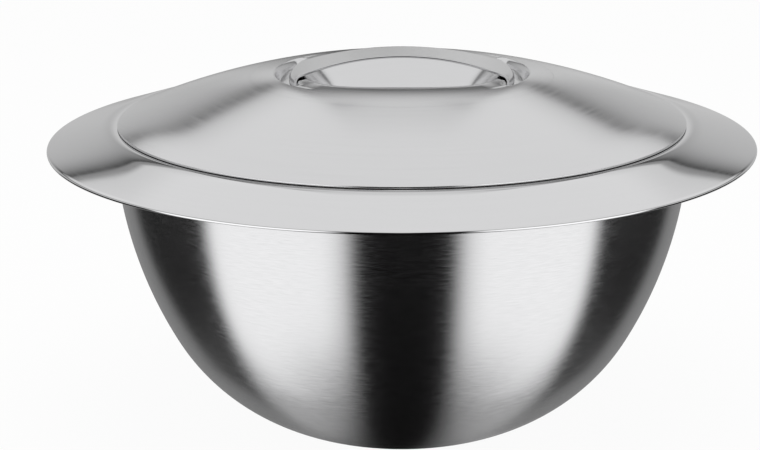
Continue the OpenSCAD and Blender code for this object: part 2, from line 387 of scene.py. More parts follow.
@dataclass(frozen=True)
class TurnedPattern:
    """Fine lines that run round the Z axis, as a turning or brushing wheel leaves them."""

    spacing: float  # mm between lines
    length: float  # mm that a line runs before it fades
    detail: float = 3.0
    detail_strength: float = 0.6

    def build(self, tree: bpy.types.NodeTree) -> bpy.types.NodeSocket:
        """Adds the pattern's nodes.

        Args:
            tree: the material's tree.

        Returns:
            The pattern's value, about 0.5 on average.
        """
        place = add_node(tree, "ShaderNodeTexCoord").outputs["Object"]
        parts = add_node(tree, "ShaderNodeSeparateXYZ", {0: place}).outputs
        flat = add_node(tree, "ShaderNodeCombineXYZ", {"X": parts["X"], "Y": parts["Y"]}).outputs[0]
        radius = add_node(tree, "ShaderNodeVectorMath", {0: flat}, operation="LENGTH").outputs["Value"]
        # Radius and height together grow along the sheet's section, on a wall and on a floor
        climb = add_node(tree, "ShaderNodeMath", {0: radius, 1: parts["Z"]}, operation="ADD").outputs[0]
        along, across = 1 / (self.length * MM), 1 / (self.spacing * MM)
        scaled = [add_node(tree, "ShaderNodeMath", {0: value, 1: scale},
                           operation="MULTIPLY").outputs[0]
                  for value, scale in ((parts["X"], along), (parts["Y"], along), (climb, across))]
        vector = add_node(tree, "ShaderNodeCombineXYZ",
                          {"X": scaled[0], "Y": scaled[1], "Z": scaled[2]}).outputs[0]
        return add_node(tree, "ShaderNodeTexNoise",
                        {"Vector": vector, "Scale": 1.0, "Detail": self.detail,
                         "Roughness": self.detail_strength}).outputs["Fac"]


@dataclass(frozen=True)
class Steel:
    """Stainless steel sheet. The metal is the same all over, and its finish is how it was worked."""

    name: str
    colour: str
    roughness: float
    lines: TurnedPattern
    roughness_spread: float  # how far the lines vary the roughness, up and down
    tone_spread: float  # how far the lines vary the colour
    bump_height: float  # mm
    anisotropy: float = 0.0
    satin_inside: float = 0.0  # mm: nearer the axis than this the sheet is left satin
    satin_roughness: float = 0.0

    def satin_part(self, tree: bpy.types.NodeTree, place: bpy.types.NodeSocket,
                   roughness: bpy.types.NodeSocket) -> bpy.types.NodeSocket:
        """Makes the sheet rougher near the axis, where it was left satin.

        Args:
            tree: the material's tree.
            place: the point on the piece.
            roughness: the roughness of the polished part.

        Returns:
            The roughness of both parts.
        """
        flat = add_node(tree, "ShaderNodeVectorMath", {0: place, 1: (1.0, 1.0, 0.0)},
                        operation="MULTIPLY").outputs[0]
        radius = add_node(tree, "ShaderNodeVectorMath", {0: flat}, operation="LENGTH").outputs["Value"]
        edge = self.satin_inside * MM
        share = add_node(tree, "ShaderNodeMapRange",
                         {"Value": radius, "From Min": edge - MM, "From Max": edge,
                          "To Min": 1.0, "To Max": 0.0}).outputs[0]
        extra = self.satin_roughness - self.roughness
        return add_node(tree, "ShaderNodeMath", {0: share, 1: extra, 2: roughness},
                        operation="MULTIPLY_ADD").outputs[0]

    def material(self) -> bpy.types.Material:
        """Builds the material.

        Returns:
            The material.
        """
        material, tree, output = new_material(self.name)
        place = add_node(tree, "ShaderNodeTexCoord").outputs["Object"]
        pattern = self.lines.build(tree)
        roughness = add_node(tree, "ShaderNodeMapRange",
                             {"Value": pattern, "From Min": NOISE_LOW, "From Max": NOISE_HIGH,
                              "To Min": self.roughness - self.roughness_spread,
                              "To Max": self.roughness + self.roughness_spread}).outputs[0]
        if self.satin_inside:
            roughness = self.satin_part(tree, place, roughness)
        tone = add_node(tree, "ShaderNodeMapRange",
                        {"Value": pattern, "From Min": NOISE_LOW, "From Max": NOISE_HIGH}).outputs[0]
        bump = add_node(tree, "ShaderNodeBump",
                        {"Strength": 1.0, "Distance": self.bump_height * MM,
                         "Height": pattern}).outputs[0]
        links = {"Base Color": toned(tree, self.colour, self.tone_spread, tone), "Metallic": 1.0,
                 "Roughness": roughness, "Normal": bump}
        if self.anisotropy:
            normal = add_node(tree, "ShaderNodeNewGeometry").outputs["Normal"]
            around = add_node(tree, "ShaderNodeVectorMath", {0: (0.0, 0.0, 1.0), 1: place},
                              operation="CROSS_PRODUCT").outputs[0]
            up_the_wall = add_node(tree, "ShaderNodeVectorMath", {0: normal, 1: around},
                                   operation="CROSS_PRODUCT").outputs[0]
            links |= {"Tangent": up_the_wall, "Anisotropic": self.anisotropy}
        shader = add_node(tree, "ShaderNodeBsdfPrincipled", links)
        tree.links.new(shader.outputs[0], output.inputs["Surface"])
        return material


@dataclass(frozen=True)
class Moulded:
    """A moulded or poured material with a fine grain."""

    name: str
    colour: str
    roughness: float
    ior: float
    grain: float  # mm
    grain_height: float  # mm
    tone_spread: float
    subsurface: float = 0.0
    scatter: float = 0.0  # mm that light travels inside
    roughness_spread: float = 0.05
    detail: float = 4.0
    detail_strength: float = 0.65

    def material(self) -> bpy.types.Material:
        """Builds the material.

        Returns:
            The material.
        """
        material, tree, output = new_material(self.name)
        place = add_node(tree, "ShaderNodeTexCoord").outputs["Object"]
        grain = add_node(tree, "ShaderNodeTexNoise",
                         {"Vector": place, "Scale": 1 / (self.grain * MM), "Detail": self.detail,
                          "Roughness": self.detail_strength}).outputs["Fac"]
        bump = add_node(tree, "ShaderNodeBump",
                        {"Strength": 1.0, "Distance": self.grain_height * MM,
                         "Height": grain}).outputs[0]
        roughness = add_node(tree, "ShaderNodeMapRange",
                             {"Value": grain, "To Min": self.roughness - self.roughness_spread,
                              "To Max": self.roughness + self.roughness_spread}).outputs[0]
        shader = add_node(tree, "ShaderNodeBsdfPrincipled",
                          {"Base Color": toned(tree, self.colour, self.tone_spread, grain),
                           "Roughness": roughness, "IOR": self.ior, "Normal": bump,
                           "Subsurface Weight": self.subsurface,
                           "Subsurface Scale": self.scatter * MM})
        tree.links.new(shader.outputs[0], output.inputs["Surface"])
        return material


class Finishes:
    """Every finish of the object, made once."""

    def __init__(self) -> None:
        """Builds the materials."""
        # Stainless steel, brushed round the axis: light runs up and down the wall in soft bands.
        # The streaks are drawn coarser than real brushing, which is too fine to show
        self.brushed = Steel(
            "stainless_steel_brushed_round", "#C6C6C7", roughness=0.21,
            lines=TurnedPattern(spacing=0.5, length=6), roughness_spread=0.05, tone_spread=0.06,
            bump_height=0.0009, anisotropy=0.82).material()
        # Stainless steel, mirror polished on a buffing wheel: it shows the room with hard edges
        self.mirror = Steel(
            "stainless_steel_mirror_polished", "#D9D9DA", roughness=0.05,
            lines=TurnedPattern(spacing=1.1, length=90), roughness_spread=0.012,
            tone_spread=0.006, bump_height=0.00025, satin_inside=126.0,
            satin_roughness=0.22).material()
        # Stainless steel, buffed after pressing: a softer mirror, whose edges are a little blurred
        self.buffed = Steel(
            "stainless_steel_buffed", "#D6D6D7", roughness=0.155,
            lines=TurnedPattern(spacing=1.3, length=70), roughness_spread=0.02, tone_spread=0.01,
            bump_height=0.0004).material()
        # Stainless steel, satin from the roll: grey and even
        self.satin = Steel(
            "stainless_steel_satin", "#C4C4C6", roughness=0.3,
            lines=TurnedPattern(spacing=0.8, length=50), roughness_spread=0.04, tone_spread=0.03,
            bump_height=0.0015, anisotropy=0.4).material()
        # Silicone rubber, moulded: milky, soft sheen
        self.silicone = Moulded(
            "silicone_rubber_moulded", "#DAD9D4", roughness=0.42, ior=1.41, grain=0.5,
            grain_height=0.01, tone_spread=0.02, subsurface=0.4, scatter=2.0).material()
        # Rubber, moulded: near black and dull
        self.rubber = Moulded(
            "rubber_moulded", "#232323", roughness=0.62, ior=1.52, grain=0.4,
            grain_height=0.02, tone_spread=0.12).material()
        # Polyurethane foam, poured in place: cream, with open cells on its skin
        self.foam = Moulded(
            "polyurethane_foam_poured", "#E4D6AE", roughness=0.85, ior=1.5, grain=1.2,
            grain_height=0.25, tone_spread=0.08).material()


# The bowl


@dataclass(frozen=True)
class Bowl:
    """The two steel bowls, the brim and the plug, in millimetres and degrees."""

    # The wall: two curves that touch, up from a flat base
    base_r: float = 50.0
    base_round_r: float = 2.5
    base_edge_angle: float = 14.4
    lower_curve_r: float = 100.7
    lower_curve_turn: float = 46.3
    upper_curve_r: float = 204.0
    shell_t: float = 0.6
    cavity_w: float = 10.0
    # The mouth, the lid's seat, the crest and the sloping brim with its folded edge
    crest_z: float = 151.3
    mouth_round_r: float = 8.0
    seat_w: float = 1.4
    crest_land_w: float = 1.2
    crest_bend_r: float = 24.0
    # 0.11 less than the solid's, so that this round edge stays inside its faceted one
    brim_d: float = 341.39
    brim_slope: float = 17.4
    hem_w: float = 6.0
    fit: float = 0.05  # gap between sheets that touch
    # The raised panel under the base, its filling hole and the plug
    panel_r: float = 39.0
    panel_raise: float = 1.4
    panel_round_r: float = 1.2
    fill_hole_r: float = 5.0
    plug_flange_r: float = 9.0
    plug_flange_t: float = 1.0
    plug_round_r: float = 0.4
    barb_h: float = 2.5
    barb_w: float = 0.6
    floor_rings: tuple[float, float] = (4.0, 44.0)  # radii of the first and last ring on the floor

    @property
    def lower_end(self) -> float:
        """Angle of the wall where its two curves meet."""
        return self.base_edge_angle + self.lower_curve_turn

    @property
    def lower_c(self) -> np.ndarray:
        """Centre of the lower curve."""
        t = math.radians(self.base_edge_angle)
        return np.array([self.base_r - self.lower_curve_r * math.sin(t),
                         self.lower_curve_r * math.cos(t)])

    @property
    def upper_c(self) -> np.ndarray:
        """Centre of the upper curve."""
        t = math.radians(self.lower_end)
        return self.lower_c + (self.lower_curve_r - self.upper_curve_r) * np.array(
            [math.sin(t), -math.cos(t)])

    @property
    def cavity_far(self) -> float:
        """Depth of the inner bowl's outer face."""
        return self.shell_t + self.cavity_w

    @property
    def inside_depth(self) -> float:
        """Depth of the inner bowl's inner face."""
        return self.cavity_far + self.shell_t

    def wall_radius(self, depth: float, z: float) -> float:
        """Radius of the wall.

        Args:
            depth: the depth below the outer face.
            z: a height in the wall's upper curve.

        Returns:
            The radius.
        """
        return float(self.upper_c[0] + math.sqrt((self.upper_curve_r - depth) ** 2
                                                 - (z - self.upper_c[1]) ** 2))

    def wall(self, depth: float, low_z: float, high_z: float, steps: int) -> np.ndarray:
        """The wall's face at a depth inside it.

        Args:
            depth: the depth below the outer face.
            low_z: the height it starts at.
            high_z: the height it ends at.
            steps: the steps of each curve.

        Returns:
            Its points, from below.
        """
        low_r, high_r = self.lower_curve_r - depth, self.upper_curve_r - depth
        meet = self.lower_end - 90
        low = math.degrees(math.asin((low_z - self.lower_c[1]) / low_r))
        high = math.degrees(math.asin((high_z - self.upper_c[1]) / high_r))
        return np.vstack([arc(self.lower_c, low_r, low, meet, steps),
                          arc(self.upper_c, high_r, meet, high, steps)[1:]])

    @property
    def mouth_z(self) -> float:
        """Height at which the mouth's rounding starts."""
        return self.crest_z - self.mouth_round_r

    @property
    def mouth_r(self) -> float:
        """Radius of the mouth."""
        return self.wall_radius(self.inside_depth, self.mouth_z)

    @property
    def mouth_c(self) -> np.ndarray:
        """Centre of the mouth's rounding."""
        return np.array([self.mouth_r + self.mouth_round_r, self.mouth_z])

    @property
    def lid_r(self) -> float:
        """Radius of the lid's edge, which lies on the seat."""
        return float(self.mouth_c[0] + self.seat_w)

    @property
    def hem_t(self) -> float:
        """Thickness of the folded edge."""
        return 3 * self.shell_t + 2 * self.fit

    @property
    def bend_c(self) -> np.ndarray:
        """Centre of the bend from the crest into the slope."""
        return np.array([self.lid_r + self.crest_land_w, self.crest_z - self.crest_bend_r])

    @property
    def slope_up(self) -> np.ndarray:
        """Unit way out of the brim's upper face."""
        t = math.radians(self.brim_slope)
        return np.array([math.sin(t), math.cos(t)])

    @property
    def slope_out(self) -> np.ndarray:
        """Unit way down the brim's slope."""
        return np.array([self.slope_up[1], -self.slope_up[0]])

    @property
    def slope_l(self) -> float:
        """Length of the brim's slope, from the bend to the hem's centre."""
        run = (self.brim_d / 2 - self.hem_t / 2 - self.bend_c[0]
               - (self.crest_bend_r - self.hem_t / 2) * self.slope_up[0])
        return float(run / self.slope_out[0])

    def brim_point(self, depth: float, length: float) -> np.ndarray:
        """A point at a depth below the brim's upper face, at a length down its slope."""
        return self.bend_c + (self.crest_bend_r - depth) * self.slope_up + length * self.slope_out

    def outer_section(self) -> np.ndarray:
        """Section of the outer bowl, with the raised panel under its base and its flange.

        Returns:
            Its points, from the filling hole out under the base and back inside.
        """
        t, slope = self.shell_t, self.brim_slope
        depth = 2 * t + self.fit
        start = self.brim_point(depth, 0)
        turn_r = (start[0] - self.wall_radius(0, self.mouth_z)) / (1 + self.slope_up[0])
        turn_c = start - turn_r * self.slope_up
        hole, ring = self.fill_hole_r, self.panel_r + self.panel_raise
        step = rounded_corner(np.array([hole, self.panel_raise]),
                              np.array([self.panel_r, self.panel_raise]),
                              np.array([ring, 0.0]), self.panel_round_r)
        foot = self.wall(0, 0, float(turn_c[1]), 64)
        land = rounded_corner(np.array([self.panel_r, self.panel_raise]), np.array([ring, 0.0]),
                              foot[0], self.panel_round_r)
        # The base's rounding takes the place of the wall's first points
        heel = rounded_corner(np.array([ring, 0.0]), foot[0], foot[2], self.base_round_r, 6)
        return np.vstack([
            [[hole, self.panel_raise]], step, land, heel, foot[3:],
            arc(turn_c, turn_r, 180, 90 - slope, 12)[1:],
            [self.brim_point(depth, self.slope_l - self.fit),
             self.brim_point(depth - t, self.slope_l - self.fit)],
            arc(turn_c, turn_r + t, 90 - slope, 180, 8),
            self.wall(t, t, float(turn_c[1]), 24)[::-1][1:],
            [[ring, t], [self.panel_r, self.panel_raise + t], [hole, self.panel_raise + t]]])

    def inner_section(self) -> np.ndarray:
        """Section of the inner bowl, its brim and the edge folded round the outer flange.

        Returns:
            Its points, from the middle of the floor up inside, over the brim and back outside.
        """
        t, slope, in_d = self.shell_t, self.brim_slope, self.inside_depth
        hem_c = self.brim_point(self.hem_t / 2, self.slope_l)
        slope_face = np.array([self.brim_point(0, l)
                               for l in np.linspace(0, self.slope_l, 26)[1:-1]])
        return np.vstack([
            [[0.0, in_d]], level(*self.floor_rings, in_d, 10),
            self.wall(in_d, in_d, self.mouth_z, 46),
            arc(self.mouth_c, self.mouth_round_r, 180, 90, 20)[1:],
            arc(self.bend_c, self.crest_bend_r, 90, 90 - slope, 16),
            slope_face,
            arc(hem_c, self.hem_t / 2, 90 - slope, -90 - slope, 20),
            [self.brim_point(self.hem_t, self.slope_l - self.hem_w),
             self.brim_point(self.hem_t - t, self.slope_l - self.hem_w)],
            arc(hem_c, self.hem_t / 2 - t, -90 - slope, 90 - slope, 8),
            arc(self.bend_c, self.crest_bend_r - t, 90 - slope, 90, 6),
            arc(self.mouth_c, self.mouth_round_r - t, 90, 180, 8),
            self.wall(self.cavity_far, self.cavity_far, self.mouth_z, 14)[::-1][1:],
            [[0.0, self.cavity_far]]])

    def plug_section(self) -> np.ndarray:
        """Section of the rubber plug: flange, shank and barb.

        Returns:
            Its points, from below.
        """
        face, shank = self.panel_raise - self.fit, self.fill_hole_r - self.fit
        catch = self.panel_raise + self.shell_t + self.fit
        tip = self.panel_raise + self.shell_t + self.barb_h
        low = face - self.plug_flange_t
        rim = rounded_corner(np.array([0.0, low]), np.array([self.plug_flange_r, low]),
                             np.array([self.plug_flange_r, face]), self.plug_round_r)
        return np.vstack([[[0.0, low]], rim, [
            [self.plug_flange_r, face], [shank, face], [shank, catch],
            [self.fill_hole_r + self.barb_w, catch], [shank - self.barb_w, tip], [0.0, tip]]])

    def build(self, sheet: TurnedSheet, finishes: Finishes) -> None:
        """Makes the bowl's pieces and dresses the foam.

        Args:
            sheet: the tree that turns a section.
            finishes: the finishes.
        """
        settle(sheet.turn("brushed_outer_bowl", self.outer_section(), finishes.brushed),
               Body.BOWL, "brushed_bowl", "outer_shell")
        settle(sheet.turn("inner_bowl_with_brim", self.inner_section(), finishes.mirror),
               Body.BOWL, "polished_brim", "inner_shell")
        settle(sheet.turn("filling_hole_plug", self.plug_section(), finishes.rubber, turns=96),
               Body.BOWL, "plug_rubber", "base_plug")
        repaint("bowl_insulation", finishes.foam)


# The lid


@dataclass(frozen=True)
class Lid:
    """The dome, its pan and strap, its inner skin and seal, in millimetres and degrees."""

    bowl: Bowl = field(default_factory=Bowl)
    # The dome's sheet
    dome_r: float = 350.0
    lid_t: float = 0.8
    seat_gap: float = 0.3
    edge_round_r: float = 0.3
    # The inner skin, whose plug fills the mouth, and the seal round it
    liner_t: float = 0.6
    liner_inset: float = 3.0
    liner_rings: tuple[float, float] = (6.0, 114.0)  # radii of the first and last ring on its floor
    plug_depth: float = 10.0
    plug_clearance: float = 2.0
    plug_corner_r: float = 5.0
    seal_low_angle: float = 20.0
    seal_high_angle: float = 50.0
    # The pan's rim and its well
    pan_r: float = 73.0
    rim_roll_r: float = 182.0
    pan_depth: float = 20.5
    well_l: float = 95.0
    well_w: float = 88.0
    well_lip: float = 1.2  # how softly the wall starts
    well_rise: float = 1.25  # how far the wall falls over its width
    well_power: float = 2.7  # at 2 the well is an ellipse from above, and squarer as it grows
    floor_power: float = 6.0  # how tightly the wall turns into the floor
    # The grooves at the strap's ends, with a ramp inside them and a shallow step beside them
    groove_r: float = 62.0
    groove_w: float = 10.4
    groove_wall_w: float = 3.5
    groove_slope_w: float = 1.5
    groove_depth: float = 5.0
    groove_half_angle: float = 22.5
    groove_fade_angle: float = 6.0
    groove_widening: float = 7.0
    widening_w: float = 2.5
    ramp_r: float = 43.0
    ramp_fall: float = 2.6
    step_depth: float = 0.4
    step_angles: tuple[float, float] = (36.0, 52.0)
    # The strap
    strap_t: float = 1.2
    waist_w: float = 24.4
    waist_side_r: float = 185.0
    arch_r: float = 150.0
    strap_rise: float = 4.2
    strap_end_r: float = 54.5
    strap_bend_r: float = 4.0
    bond_gap: float = 0.15
    # The pan's rings lie close together on the well's wall and closest on the grooves' outer walls
    first_ring_r: float = 1.0
    floor_ring_r: float = 20.0
    well_ring_r: float = 57.0
    lip_margin: float = 0.3
    ring_steps: tuple[int, ...] = (13, 65, 21, 17)
    probe: float = 0.05  # how far to either side a slope is taken
    # The strap's points along it and across it
    arch_rows: int = 60
    bend_rows: int = 14
    foot_rows: int = 8
    across_points: int = 25
    corner_steps: int = 5
    width_rounds: int = 20  # tries that find where a line of the strap meets the bend
    bend_blend: int = 6  # how late a line turns towards that place

    @property
    def dome_z(self) -> float:
        """Height of the dome's centre."""
        b = self.bowl
        return b.crest_z + self.seat_gap - math.sqrt((self.dome_r - self.lid_t) ** 2 - b.lid_r ** 2)

    def dome_height(self, sphere_r: float, r: Number) -> Number:
        """Height of a dome of a radius about the lid's centre."""
        return self.dome_z + np.sqrt(sphere_r ** 2 - np.square(r))

    def dome_arc(self, sphere_r: float, from_r: float, to_r: float, steps: int) -> np.ndarray:
        """Points of a dome's section between two radii."""
        r = np.linspace(from_r, to_r, steps + 1)
        return np.column_stack([r, self.dome_height(sphere_r, r)])

    @property
    def liner_r(self) -> float:
        """Radius of the inner skin's upper face, where it follows the dome."""
        return self.dome_r - self.lid_t - self.bowl.fit

    @property
    def plug_r(self) -> float:
        """Radius of the inner skin's plug."""
        return self.bowl.mouth_r - self.plug_clearance

    @property
    def floor_z(self) -> float:
        """Height of the pan's floor."""
        return self.dome_z + self.dome_r - self.pan_depth

    # The pan's form: a rim that rolls to level, a rounded square well, and a groove at each end
    # of the strap

    @property
    def rim_flat_r(self) -> float:
        """Radius inside which the rim is level."""
        return self.pan_r * (1 - self.rim_roll_r / self.dome_r)

    @property
    def rim_z(self) -> float:
        """Height of the level rim."""
        drop = math.sqrt(self.rim_roll_r ** 2 - (self.pan_r - self.rim_flat_r) ** 2)
        return float(self.dome_height(self.dome_r, self.pan_r)) + self.rim_roll_r - drop

    def rim_height(self, r: Number) -> Number:
        """Height of the rim, which rolls from the dome's slope to level."""
        past = np.maximum(0, r - self.rim_flat_r)
        return self.rim_z - self.rim_roll_r + np.sqrt(self.rim_roll_r ** 2 - np.square(past))

    def well_fall(self, x: Number, y: Number) -> Number:
        """How far the well lies below the rim.

        Args:
            x: the place along the strap.
            y: the place across it.

        Returns:
            The fall.
        """
        share = (np.abs(2 * x / self.well_l) ** self.well_power
                 + np.abs(2 * y / self.well_w) ** self.well_power) ** (1 / self.well_power)
        inside = (1 - share) * self.well_w / 2
        dive = self.well_rise * (inside + np.sqrt(np.square(inside) + self.well_lip ** 2)) / 2
        limit, p = self.rim_z - self.floor_z, self.floor_power
        return dive * limit / (dive ** p + limit ** p) ** (1 / p)

    def groove_fall(self, r: Number, off: Number) -> Number:
        """How far the grooves, and the step that goes on from them, lie below the rim.

        Args:
            r: the radius.
            off: the angle from the strap's nearer end, in degrees.

        Returns:
            The fall.
        """
        wall = smooth_step((self.groove_r - r) / self.groove_wall_w)
        inner = self.groove_r - self.groove_w
        fall = (self.ramp_fall * smooth_step((r - self.ramp_r) / (inner - self.ramp_r))
                + (self.groove_depth - self.ramp_fall) * smooth_step((r - inner) / self.groove_slope_w))
        wide = self.groove_widening * smooth_step((r - self.strap_end_r) / self.widening_w)
        groove = 1 - smooth_step((off - self.groove_half_angle - wide) / self.groove_fade_angle)
        start, end = self.step_angles
        step = 1 - smooth_step((off - start) / (end - start))
        return wall * np.maximum(fall * groove, self.step_depth * step)

    def pan_height(self, x: Number, y: Number) -> Number:
        """Height of the pan's upper face.

        Args:
            x: the place along the strap.
            y: the place across it.

        Returns:
            The height.
        """
        r = np.hypot(x, y)
        off = np.degrees(np.arctan2(np.abs(y), np.maximum(np.abs(x), ON_AXIS)))
        near = 1 - smooth_step((r - self.groove_r) / (self.pan_r - self.groove_r))
        return self.rim_height(r) - np.maximum(self.well_fall(x, y) * near,
                                               self.groove_fall(r, off))

    def pan(self, material: bpy.types.Material, turns: int = 360) -> bpy.types.Object:
        """Makes the pressed pan as one closed sheet.

        Args:
            material: its finish.
            turns: the points of each ring.

        Returns:
            The piece.
        """
        bounds = (self.first_ring_r, self.floor_ring_r, self.well_ring_r,
                  self.groove_r + self.lip_margin, self.pan_r)
        r = np.concatenate([bounds[:1]] + [
            np.linspace(near, far, steps + 1)[1:]
            for near, far, steps in zip(bounds, bounds[1:], self.ring_steps)])
        rings = len(r)
        angle = 2 * np.pi * np.arange(turns) / turns
        rr, aa = np.meshgrid(r, angle, indexing="ij")
        x, y = rr * np.cos(aa), rr * np.sin(aa)
        top = self.pan_height(x, y)
        reach = self.probe
        dx = (self.pan_height(x + reach, y) - self.pan_height(x - reach, y)) / (2 * reach)
        dy = (self.pan_height(x, y + reach) - self.pan_height(x, y - reach)) / (2 * reach)
        low = top - self.lid_t * np.sqrt(1 + dx ** 2 + dy ** 2)
        upper = np.column_stack([x.ravel(), y.ravel(), top.ravel()])
        under = np.column_stack([x.ravel(), y.ravel(), low.ravel()])
        middle = float(self.pan_height(np.array(0.0), np.array(0.0)))
        points = np.vstack([upper, under, [[0, 0, middle], [0, 0, middle - self.lid_t]]])
        count = rings * turns
        last_ring = count - turns
        faces: list[tuple[int, ...]] = []
        for k in range(turns):
            m = (k + 1) % turns
            # The middle of the upper face and of the lower one
            faces += [(2 * count, k, m), (2 * count + 1, count + m, count + k)]
            for i in range(rings - 1):
                a, b = i * turns, (i + 1) * turns
                faces += [(a + k, b + k, b + m, a + m),
                          (count + a + k, count + a + m, count + b + m, count + b + k)]
            # The edge at the seam
            faces.append((last_ring + k, count + last_ring + k, count + last_ring + m, last_ring + m))
        obj = new_object("handle_recess_pan", points, faces)
        dress(obj, material, sharp_angle=60)
        return obj

    # The strap

    @property
    def arch_z(self) -> float:
        """Height of the centre of the strap's arch."""
        return self.dome_z + self.dome_r + self.strap_rise - self.arch_r

    @property
    def foot_z(self) -> float:
        """Height at which the turned-down ends stand in their grooves."""
        inner_face = self.rim_height(self.strap_end_r - self.strap_t)
        return float(inner_face) - self.groove_depth + self.bond_gap

    def arch_height(self, x: float) -> float:
        """Height of the arch's upper face at a distance from its middle."""
        return self.arch_z + math.sqrt(self.arch_r ** 2 - x * x)

    def half_width(self, x: float) -> float:
        """Half of the strap's width at a distance from its middle."""
        return self.waist_w / 2 + self.waist_side_r - math.sqrt(self.waist_side_r ** 2 - x * x)

    def off_middle(self, x: float, across: float, beyond: float) -> float:
        """How far a line along the strap lies from its middle line at a distance from its middle."""
        return across * (self.half_width(x) - self.edge_round_r) + beyond

    def strap_ring(self) -> list[tuple[float, float, float]]:
        """Goes once round the strap's section with its rounded edges.

        Returns:
            For each point how far across it lies, from -1 to 1, how far beyond that and how deep.
        """
        e, t = self.edge_round_r, self.strap_t
        across = np.linspace(-1, 1, self.across_points)
        corner = np.radians(np.linspace(0, 90, self.corner_steps + 1))
        ring = [(v, 0.0, 0.0) for v in across]
        ring += [(1.0, e * math.sin(c), e - e * math.cos(c)) for c in corner[1:]]
        ring += [(1.0, e * math.cos(c), t - e + e * math.sin(c)) for c in corner]
        ring += [(v, 0.0, t) for v in across[::-1][1:]]
        ring += [(-1.0, -e * math.sin(c), t - e + e * math.cos(c)) for c in corner[1:]]
        ring += [(-1.0, -e * math.cos(c), e - e * math.sin(c)) for c in corner[:-1]]
        return ring

    def strap_line(self, across: float, beyond: float, depth: float) -> list[tuple[float, ...]]:
        """Follows one line along the strap, from its middle over the bend to its foot.

        Args:
            across: how far across the strap it lies, from -1 to 1.
            beyond: how far beyond that, in the rounded edge.
            depth: how far below the upper face.

        Returns:
            Its points.
        """
        turn_r = self.strap_end_r - self.strap_bend_r
        start = math.asin(turn_r / self.arch_r)
        # The line meets the bend on a circle about the lid's axis
        meet = turn_r + self.strap_bend_r * math.sin(start)
        x = meet
        for _ in range(self.width_rounds):
            x = math.sqrt(meet ** 2 - self.off_middle(x, across, beyond) ** 2)
        way = np.array([x, self.off_middle(x, across, beyond)]) / meet
        bend_z = self.arch_height(x) - self.strap_bend_r * math.cos(start)
        inner = self.strap_bend_r - depth
        end_r, end_z = turn_r + inner * math.sin(start), bend_z + inner * math.cos(start)
        end_x = end_r * way[0]
        # What the arch's plain form leaves open at the bend is closed little by little towards it
        side_gap = end_r * way[1] - self.off_middle(end_x, across, beyond)
        drop = depth * math.cos(start)
        height_gap = end_z - (self.arch_height(end_x + depth * math.sin(start)) - drop)
        points = []
        for share in np.linspace(0, 1, self.arch_rows):
            px = share * end_x
            tilt = math.asin(px / self.arch_r)
            pz = self.arch_height(px + depth * math.sin(tilt)) - depth * math.cos(tilt)
            blend = share ** self.bend_blend
            points.append((px, self.off_middle(px, across, beyond) + side_gap * blend,
                           pz + height_gap * blend))
        for a in np.linspace(start, math.pi / 2, self.bend_rows + 1)[1:]:
            rho = turn_r + inner * math.sin(a)
            points.append((rho * way[0], rho * way[1], bend_z + inner * math.cos(a)))
        rho = turn_r + inner
        for share in np.linspace(0, 1, self.foot_rows + 1)[1:]:
            points.append((rho * way[0], rho * way[1], bend_z + (self.foot_z - bend_z) * share))
        return points

    def strap(self, material: bpy.types.Material) -> bpy.types.Object:
        """Makes the arched strap with its waist, its rounded edges and its turned-down ends.

        Args:
            material: its finish.

        Returns:
            The piece.
        """
        half = np.array([self.strap_line(*place) for place in self.strap_ring()]).transpose(1, 0, 2)
        other = half[1:][::-1] * np.array([-1.0, 1.0, 1.0])
        grid = np.concatenate([other, half])
        count, size = grid.shape[:2]
        faces: list[tuple[int, ...]] = []
        for i in range(count - 1):
            for k in range(size):
                m = (k + 1) % size
                faces.append((i * size + k, (i + 1) * size + k, (i + 1) * size + m, i * size + m))
        faces.append(tuple(range(size)))
        faces.append(tuple((count - 1) * size + k for k in range(size))[::-1])
        obj = new_object("strap_handle", grid.reshape(-1, 3), faces)
        dress(obj, material, sharp_angle=50)
        return obj

    def dome_section(self) -> np.ndarray:
        """Section of the dome's sheet, from the pan's seam to its rounded edge.

        Returns:
            Its points, from the seam out and back below.
        """
        b = self.bowl
        seam = self.pan_r + b.fit
        top = self.dome_arc(self.dome_r, seam, b.lid_r, 90)
        low = self.dome_arc(self.dome_r - self.lid_t, seam, b.lid_r, 30)
        edge = rounded_corner(top[-2], top[-1], low[-1], self.edge_round_r)
        return np.vstack([top[:-1], edge, low[::-1]])

    def liner_section(self) -> np.ndarray:
        """Section of the inner skin: a shallow plug with a flange that follows the dome.

        Returns:
            Its points, from the middle out below and back above.
        """
        b, t = self.bowl, self.liner_t
        plug_z = b.crest_z - self.plug_depth
        corner = np.array([self.plug_r - self.plug_corner_r, plug_z + self.plug_corner_r])
        tip = b.lid_r - self.liner_inset
        return np.vstack([
            [[0.0, plug_z]], level(*self.liner_rings, plug_z, 18),
            arc(corner, self.plug_corner_r, -90, 0, 20),
            self.dome_arc(self.liner_r - t, self.plug_r, tip, 8),
            self.dome_arc(self.liner_r, self.plug_r - t, tip, 8)[::-1],
            arc(corner, self.plug_corner_r - t, 0, -90, 8), [[0.0, plug_z + t]]])

    def seal_section(self) -> np.ndarray:
        """Section of the silicone ring, which follows the mouth's rounding.

        Returns:
            Its points, from its inner lower corner.
        """
        b = self.bowl
        face_r = b.mouth_round_r + self.seat_gap
        inner = self.plug_r + b.fit
        outer = b.mouth_c[0] - face_r * math.cos(math.radians(self.seal_high_angle))
        return np.vstack([
            [[inner, b.mouth_c[1] + face_r * math.sin(math.radians(self.seal_low_angle))]],
            arc(b.mouth_c, face_r, 180 - self.seal_low_angle, 180 - self.seal_high_angle, 12),
            self.dome_arc(self.liner_r - self.liner_t - b.fit, inner, outer, 8)[::-1]])

